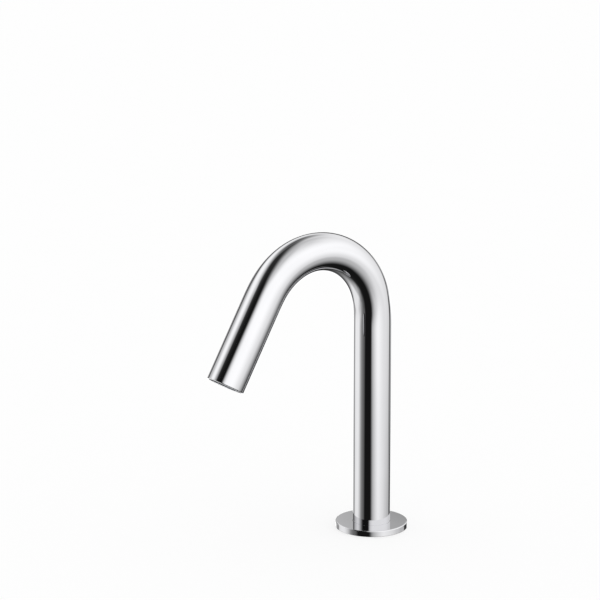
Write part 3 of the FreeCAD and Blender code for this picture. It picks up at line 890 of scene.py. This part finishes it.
    def nipple(self) -> Thing:
        """Water inlet: a plain end with a clip's groove for a push-fit coupling, and the hose's spigot."""
        profile = outline(list(self.nipple_outline))
        return turned("push_fit_nipple", profile, Place((0.0, self.nipple_y, 0.0)), columns=72)

    def gland(self) -> Thing:
        """Rubber sleeve round the lead, grooved below its collar so that it bends with it."""
        soft = 0.1  # radius of its edges
        low, high = self.gland_collar
        corners = [(self.gland_bore, self.gland_foot, soft), (1.8, self.gland_foot, 0.15)]
        outer, inner = self.gland_radius, self.gland_groove
        for start in self.gland_grooves:
            for radius, rise in ((outer, 0.0), (inner, 0.2), (inner, 0.6), (outer, 0.8)):
                corners.append((radius, start + rise, soft))
        corners += [
            (outer, low), (self.collar_radius, low, 0.2), (self.collar_radius, high), (outer, high),
            (outer, self.gland_top, soft), (self.gland_bore, self.gland_top, soft),
        ]
        return turned("lead_gland", outline(corners), Place((0.0, self.gland_y, 0.0)), columns=64)

    def build(self, wardrobe: Wardrobe) -> None:
        """Builds and dresses the clamp's pieces."""
        wardrobe.stand_in(self.shank(), "mounting_shank", Body.TAP, Slot.BRASS)
        wardrobe.stand_in(self.nut(), "fixing_nut", Body.NUT, Slot.BRASS)
        edges = self.soft_edge, self.soft_edge
        soft = self.washer("soft_washer", self.washer_split, self.washer_top, edges)
        wardrobe.stand_in(soft, "rubber_washer", Body.WASHERS, Slot.RUBBER)
        edges = self.soft_edge, self.burr_edge
        stamped = self.washer("stamped_washer", self.nut_top, self.washer_split, edges)
        wardrobe.stand_in(stamped, "steel_washer", Body.WASHERS, Slot.STEEL)
        wardrobe.stand_in(self.nipple(), "inlet_nipple", Body.TAP, Slot.BRASS)
        wardrobe.stand_in(self.gland(), "cable_gland", Body.TAP, Slot.RUBBER)


# ---- the mouth
@dataclass(frozen=True)
class Mouth:
    """What shows in the spout's end: the aerator's cartridge, the sensor's window and the grub screw."""

    aerator_y: float = 3.66
    shell_radius: float = 6.69
    shell_bore: float = 5.49
    shell_foot: float = 0.85
    shell_top: float = 11.35
    shell_edge: float = 0.15
    shell_bevel: float = 0.2  # of its top
    lip: float = 4.79
    lip_edge: float = 0.1
    lip_height: float = 0.8
    notch_start: float = 5.14
    notch_width: float = 1.8
    notch_depth: float = 0.75
    pocket_radius: float = 10.05
    pocket_flat: float = 3.83
    pocket_corner: float = 0.9
    pane_columns: tuple[int, int, int] = (10, 80, 30)  # round a corner, along the arc and along the flat
    pane_guard: float = 0.9  # scale of the ring that keeps a flat face flat
    pane_round: float = 0.15
    window_inset: float = 0.55
    step_inset: float = 0.05
    window_foot: float = 0.8
    step_foot: float = 1.6
    window_top: float = 2.6
    screw_height: float = 15.95
    screw_radius: float = 1.5
    screw_head: float = 12.3
    screw_length: float = 2.6
    screw_edges: tuple[float, float] = (0.2, 0.15)  # rounding of its point and its head
    head_face: float = 1.0  # radius from which the head's face is flat
    socket_flats: float = 1.5
    socket_depth: float = 1.2

    def cartridge(self) -> Thing:
        """Aerator's shell with an inner lip and four notches for its key.

        Round a quarter, the columns keep to the notch's parallel sides: a notch's side at radius r is at the
        turn asin(half the width / r), and the columns of the notch and of the wall share out what lies
        between. Each side has two columns, one at the notch's floor and one at the wall's foot, and so stands
        upright.

        Returns:
            The object.
        """
        foot, top, edge, slant = self.shell_foot, self.shell_top, self.shell_edge, self.lip_edge
        outer, bore, lip, lip_top = self.shell_radius, self.shell_bore, self.lip, foot + self.lip_height
        rows = np.array([  # radius, height, and 1 where a notch lifts it
            (bore, top - slant, 0), (bore, lip_top + GUARD, 0), (bore, lip_top, 0), (lip + slant, lip_top, 0),
            (lip, lip_top - slant, 0), (lip, foot + slant, 0), (lip + slant, foot, 0),
            (self.notch_start, foot, 0), (self.notch_start, foot, 1), (outer - edge, foot, 1),
            (outer, foot + edge, 1),
            (outer, foot + self.notch_depth + edge, 0), (outer, top - self.shell_bevel, 0),
            (outer - self.shell_bevel, top, 0), (bore + slant, top, 0),
        ])
        radius, height, lifted = rows.T[:, :, None]
        notch_columns, wall_columns, notches = 6, 23, 4
        in_notch = np.linspace(0, 1, notch_columns)
        in_wall = np.linspace(0, 1, wall_columns)
        side = np.arcsin(self.notch_width / 2 / radius)
        quarter = FULL_TURN / notches
        turns = [side * in_notch, side + (quarter - 2 * side) * in_wall, quarter - side * (1 - in_notch[:-1])]
        turns = np.concatenate(turns, axis=1)
        is_notch = np.repeat([1, 0, 1], [notch_columns, wall_columns, notch_columns - 1])
        turn = np.concatenate([turns + k * quarter for k in range(notches)], axis=1)
        height = height + lifted * np.tile(is_notch, notches) * self.notch_depth
        place = MOUTH.moved(y=self.aerator_y)
        points = place.placed(radius * np.cos(turn), radius * np.sin(turn), height)
        return make_piece("aerator_cartridge", points, quads(*turn.shape))

    def pane(self) -> Thing:
        """Smoked window: a D outline carried up a stepped profile, closed by a flat face at each end.

        The D drawn in by an inset has the arc's radius less the inset and the flat's distance plus it. A
        corner's circle of radius q touches both: its centre lies q beyond the flat and the arc's radius less
        q from the axis.

        Returns:
            The object.
        """
        rim, step = self.window_inset, self.step_inset
        foot, top, guard = self.window_foot, self.window_top, self.pane_guard
        edge = self.pane_round
        cut = edge * (1 - math.sqrt(0.5))  # how far in the middle of the rounded edge lies
        steps = [  # inset, height and scale
            (rim, foot, 0.0), (rim, foot, guard), (rim + edge, foot, 1.0), (rim + cut, foot + cut, 1.0),
            (rim, foot + edge, 1.0), (rim, self.step_foot, 1.0), (step, self.step_foot, 1.0),
            (step, top, 1.0), (step, top, guard), (step, top, 0.0),
        ]
        inset, height, size = np.array(steps).T[:, :, None]
        arc, flat = self.pocket_radius - inset, self.pocket_flat + inset
        corner = np.maximum(self.pocket_corner - inset, 0.05)
        corner_x = np.sqrt((arc - corner) ** 2 - (flat + corner) ** 2)
        start = np.arctan2(-(flat + corner), corner_x)
        share_corner, share_arc, share_flat = (
            np.linspace(0, 1, count, endpoint=False) for count in self.pane_columns
        )
        right = math.pi / 2 + (start - math.pi / 2) * share_corner
        sweep = start - (math.pi + 2 * start) * share_arc
        left = -math.pi - start + (start - math.pi / 2) * share_corner
        x = np.concatenate([
            corner_x + corner * np.cos(right), arc * np.cos(sweep), -corner_x + corner * np.cos(left),
            -corner_x + 2 * corner_x * share_flat,
        ], axis=1)
        corner_y = -(flat + corner)
        y = np.concatenate([
            corner_y + corner * np.sin(right), arc * np.sin(sweep), corner_y + corner * np.sin(left),
            -flat + 0 * share_flat,
        ], axis=1)
        middle = -(self.pocket_radius + self.pocket_flat) / 2
        points = MOUTH.placed(x * size, middle + (y - middle) * size, height)
        return make_piece("window_pane", points, quads(*x.shape, closed_rows=False))

    def screw(self) -> Thing:
        """Socket screw across the spout: a turned outline whose socket follows a hexagon's radius."""
        columns = 72
        turn = np.arange(columns) * FULL_TURN / columns
        socket = hexagon_radius(turn, self.socket_flats)
        foot, head = self.screw_head - self.screw_length, self.screw_head
        point_edge, head_edge = self.screw_edges
        body = outline([
            (0.0, foot), (self.screw_radius, foot, point_edge), (self.screw_radius, head, head_edge),
            (self.head_face, head),
        ], closed=False)
        rows = [np.broadcast_to(body[:, :, None], (*body.shape, columns))]
        floor = head - self.socket_depth
        for radius, height in ((socket, head), (socket, floor), (0 * socket, floor)):
            rows.append(np.array([[radius, np.full(columns, height)]]))
        place = MOUTH.moved(z=self.screw_height, turn=-90.0)
        return turned("socket_screw", np.concatenate(rows), place, solid=True)

    def build(self, wardrobe: Wardrobe) -> None:
        """Builds and dresses the mouth's pieces."""
        wardrobe.stand_in(self.cartridge(), "aerator_shell", Body.AERATOR, Slot.GREY_PLASTIC)
        wardrobe.stand_in(self.pane(), "sensor_window", Body.TAP, Slot.WINDOW)
        wardrobe.stand_in(self.screw(), "grub_screw", Body.TAP, Slot.STEEL)


# ---- the studio
@dataclass(frozen=True)
class Panel:
    """A soft box or a dark flag as the tap sees it: a soft-edged rectangle of directions, in degrees."""

    name: str
    azimuth: float  # of its middle, counted from the camera
    elevation: float
    roll: float
    half: tuple[float, float]  # half its width and height, to the middle of its soft edges
    soft: tuple[float, float]  # widths of its soft edges
    level: float  # brightness of its face, where 1 is white

    def cover(self, tree: Tree, direction: Socket, camera_azimuth: float) -> Socket:
        """How much of a direction the panel covers.

        The direction is turned into the panel's own frame, whose X axis points at its middle. There its
        angles are atan2(y, x) sideways and asin(z) upwards, and the share is the product of their soft steps.

        Args:
            tree: the world's nodes.
            direction: the direction, of length 1.
            camera_azimuth: the camera's azimuth from +X, in degrees.

        Returns:
            The share, from 0 to 1.
        """
        turn = tuple(math.radians(a) for a in (self.roll, -self.elevation, self.azimuth + camera_azimuth))
        inputs = {"Vector": direction, "Rotation": turn}
        own = add_node(tree, "ShaderNodeMapping", inputs, vector_type="TEXTURE", label=self.name)
        x, y, z = add_node(tree, "ShaderNodeSeparateXYZ", {"Vector": own.outputs["Vector"]}).outputs
        shares = []
        for angle, half, soft in zip(
            (calculate(tree, "ARCTAN2", y, x), calculate(tree, "ARCSINE", z)), self.half, self.soft
        ):
            inner, outer = math.radians(half - soft / 2), math.radians(half + soft / 2)
            away = calculate(tree, "ABSOLUTE", angle)
            limits = {"Value": away, "From Min": inner, "From Max": outer, "To Min": 1.0, "To Max": 0.0}
            step = add_node(tree, "ShaderNodeMapRange", limits, interpolation_type="SMOOTHSTEP")
            shares.append(step.outputs["Result"])
        return calculate(tree, "MULTIPLY", *shares)


@dataclass(frozen=True)
class Studio:
    """White floor, even light on all that isn't a mirror, and the soft boxes and flags that a mirror sees."""

    camera_place: tuple[float, float, float] = (1.08799, -0.88107, 0.46761)
    camera_direction: tuple[float, float, float] = (-0.77897, 0.58798, -0.21792)
    lens: float = 131.34  # mm
    sensor: float = 36.0  # mm wide
    clip: tuple[float, float] = (0.05, 100.0)  # metres
    camera_azimuth: float = -39.0  # degrees from +X, seen from the column
    room: float = 0.42  # brightness between the panels
    dome: tuple[float, float] = (0.72, 1.06)  # brightness of the even light, low and high
    dome_heights: tuple[float, float] = (-0.6, 0.8)  # Z of the directions from which it has those
    backdrop: float = 0.99
    floor_reach: float = 20.0  # metres
    floor_colour: str = "#FBFBFB"
    floor_grain: str = "#FDFDFD"
    floor_cloud: float = 40.0  # mm between the two
    floor_roughness: float = 0.9
    floor_shine: float = 0.7  # share of the floor that the camera sees at the backdrop's brightness
    # A fit to the reflections in the photographed chrome gave these numbers. They weren't set by hand.
    panels: tuple[Panel, ...] = (
        Panel("ceiling", 72.9, 48.6, -6.0, (78.8, 63.7), (12.5, 15.7), 0.18),
        Panel("right box", 82.9, 25.9, 7.7, (68.7, 49.6), (18.5, 17.9), 0.97),
        Panel("right box core", 26.0, 10.1, 41.0, (96.0, 33.8), (56.4, 59.8), 1.44),
        Panel("ceiling flag", -98.5, 70.0, 2.2, (55.2, 15.1), (18.8, 18.2), 0.03),
        Panel("left box top", -122.4, 37.1, -11.0, (70.8, 16.4), (42.3, 27.4), 1.34),
        Panel("left box foot", -112.2, -21.0, 53.9, (24.2, 33.1), (14.2, 12.0), 1.33),
        Panel("left fall-off", -54.0, -13.5, 2.7, (23.0, 49.0), (45.7, 12.0), 0.17),
        Panel("left cloth", -164.1, -1.1, 13.6, (37.2, 16.9), (33.0, 11.6), 0.01),
        Panel("rear band", 107.8, 65.8, -13.5, (16.3, 12.8), (53.7, 58.0), 0.77),
        Panel("right box rim", 4.7, 61.0, 78.9, (27.8, 7.8), (24.1, 27.6), 0.78),
        Panel("rear top", -165.7, 49.3, 36.4, (21.5, 9.2), (35.8, 25.6), 0.04),
        Panel("right foot", 52.5, -44.7, -5.2, (44.4, 18.3), (21.8, 21.0), 0.69),
        Panel("rear strip", 150.2, 1.2, 26.9, (34.3, 5.2), (11.5, 6.7), 0.04),
        Panel("low lip", 8.3, -27.1, -9.8, (22.1, 10.3), (20.4, 12.0), 0.99),
        Panel("left foot glow", -108.6, -33.9, -8.7, (22.7, 12.6), (22.3, 12.0), 0.72),
        Panel("rear floor", -156.4, -64.6, 20.8, (45.4, 35.0), (9.7, 8.2), 0.04),
        Panel("left box lip", -107.3, -53.3, 73.9, (27.0, 25.4), (50.0, 25.5), 0.64),
        Panel("right wing", 167.1, -16.5, 45.4, (9.3, 23.1), (16.6, 37.6), 0.64),
        Panel("left wing", -153.2, -3.5, 13.1, (12.6, 13.9), (6.1, 6.0), 0.38),
        Panel("high gap", 149.9, 66.5, -6.6, (6.3, 15.5), (25.0, 31.5), 0.67),
        Panel("left low box", -109.6, -37.4, 18.6, (18.6, 20.3), (18.3, 13.0), 1.13),
        Panel("high box", 51.4, 19.5, -13.4, (47.7, 12.2), (27.4, 29.5), 1.39),
        Panel("inner wing", 143.4, -74.0, -90.0, (21.3, 18.9), (23.0, 12.0), 0.25),
        Panel("backdrop", 168.0, -20.6, 5.4, (31.3, 14.4), (13.5, 9.1), 1.45),
        Panel("right edge flag", 139.4, -30.1, 12.7, (15.7, 8.5), (16.0, 11.8), 0.02),
        Panel("front floor", 77.6, -80.6, 17.2, (73.4, 16.8), (12.0, 13.3), 0.03),
        Panel("side floor", -133.2, -110.7, -13.5, (63.3, 23.3), (12.2, 34.4), 0.01),
        Panel("flag", -30.6, -1.7, 16.3, (21.8, 58.2), (12.6, 51.3), 0.01),
    )

    def world(self) -> None:
        """Makes the world: mirrors see the panels, matt surfaces an even dome and the camera the backdrop."""
        world = bpy.data.worlds.new("studio")
        world.use_nodes = True
        tree = world.node_tree
        background = tree.nodes["Background"]
        direction = add_node(tree, "ShaderNodeTexCoord").outputs["Generated"]
        seen = self.room
        for panel in self.panels:
            share = panel.cover(tree, direction, self.camera_azimuth)
            gap = calculate(tree, "SUBTRACT", panel.level, seen)
            seen = calculate(tree, "MULTIPLY_ADD", gap, share, seen)
        height = add_node(tree, "ShaderNodeSeparateXYZ", {"Vector": direction}).outputs["Z"]
        dome = spread(tree, height, *self.dome, *self.dome_heights)
        path = add_node(tree, "ShaderNodeLightPath").outputs
        mirrored = calculate(tree, "MAXIMUM", path["Is Glossy Ray"], path["Is Transmission Ray"])
        light = calculate(tree, "MULTIPLY_ADD", calculate(tree, "SUBTRACT", seen, dome), mirrored, dome)
        gap = calculate(tree, "SUBTRACT", self.backdrop, light)
        light = calculate(tree, "MULTIPLY_ADD", gap, path["Is Camera Ray"], light)
        feed(background, {"Color": light})
        bpy.context.scene.world = world

    def floor(self) -> None:
        """Makes the deck: white, closed to what stands on it, open when seen from below."""
        reach = self.floor_reach
        mesh = bpy.data.meshes.new("floor")
        corners = [(-reach, -reach, 0.0), (reach, -reach, 0.0), (reach, reach, 0.0), (-reach, reach, 0.0)]
        mesh.from_pydata(corners, [], [(0, 1, 2, 3)])
        floor = bpy.data.objects.new("floor", mesh)
        bpy.context.scene.collection.objects.link(floor)
        made = bpy.data.materials.new("matt_white_floor")
        made.use_nodes = True
        tree = made.node_tree
        shader = tree.nodes["Principled BSDF"]
        where = add_node(tree, "ShaderNodeTexCoord").outputs["Object"]
        tone = tint(tree, grain(tree, where, self.floor_cloud), self.floor_colour, self.floor_grain)
        feed(shader, {"Base Color": tone, "Roughness": self.floor_roughness, "Specular IOR Level": 0.0})
        white = add_node(tree, "ShaderNodeEmission", {"Strength": self.backdrop}).outputs["Emission"]
        seen = add_node(tree, "ShaderNodeLightPath").outputs["Is Camera Ray"]
        share = calculate(tree, "MULTIPLY", seen, self.floor_shine)
        lit = add_node(tree, "ShaderNodeMixShader", {0: share, 1: shader.outputs["BSDF"], 2: white})
        clear = add_node(tree, "ShaderNodeBsdfTransparent").outputs["BSDF"]
        below = add_node(tree, "ShaderNodeNewGeometry").outputs["Backfacing"]
        mixed = add_node(tree, "ShaderNodeMixShader", {0: below, 1: lit.outputs["Shader"], 2: clear})
        feed(tree.nodes["Material Output"], {"Surface": mixed.outputs["Shader"]})
        mesh.materials.append(made)
        floor.visible_glossy = False

    def camera(self) -> None:
        """Makes the camera at the photograph's angle."""
        data = bpy.data.cameras.new("camera")
        data.lens = self.lens
        data.sensor_width = self.sensor
        data.clip_start, data.clip_end = self.clip
        camera = bpy.data.objects.new("camera", data)
        camera.location = self.camera_place
        camera.rotation_euler = Vector(self.camera_direction).to_track_quat("-Z", "Y").to_euler()
        bpy.context.scene.collection.objects.link(camera)
        bpy.context.scene.camera = camera

    def build(self) -> None:
        """Makes the whole studio."""
        self.camera()
        self.world()
        self.floor()
        bpy.context.scene.view_settings.view_transform = "Standard"


def main() -> None:
    """Builds the tap and its studio."""
    logging.basicConfig(level=logging.INFO, format="%(name)s: %(message)s")
    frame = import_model()
    wardrobe = Wardrobe()
    for part in frame["record"]["subparts"]:
        wardrobe.dress(frame["nodes"][part["node"]], Slot(part["material_slot"]))
    wardrobe.stand_in(Neck().build(), "spout_tube", Body.TAP, Slot.CHROME)
    for assembly in (Base(), Clamp(), Mouth()):
        assembly.build(wardrobe)
        LOG.info("%s is built", type(assembly).__name__)
    Studio().build()


if __name__ == "__main__":
    main()
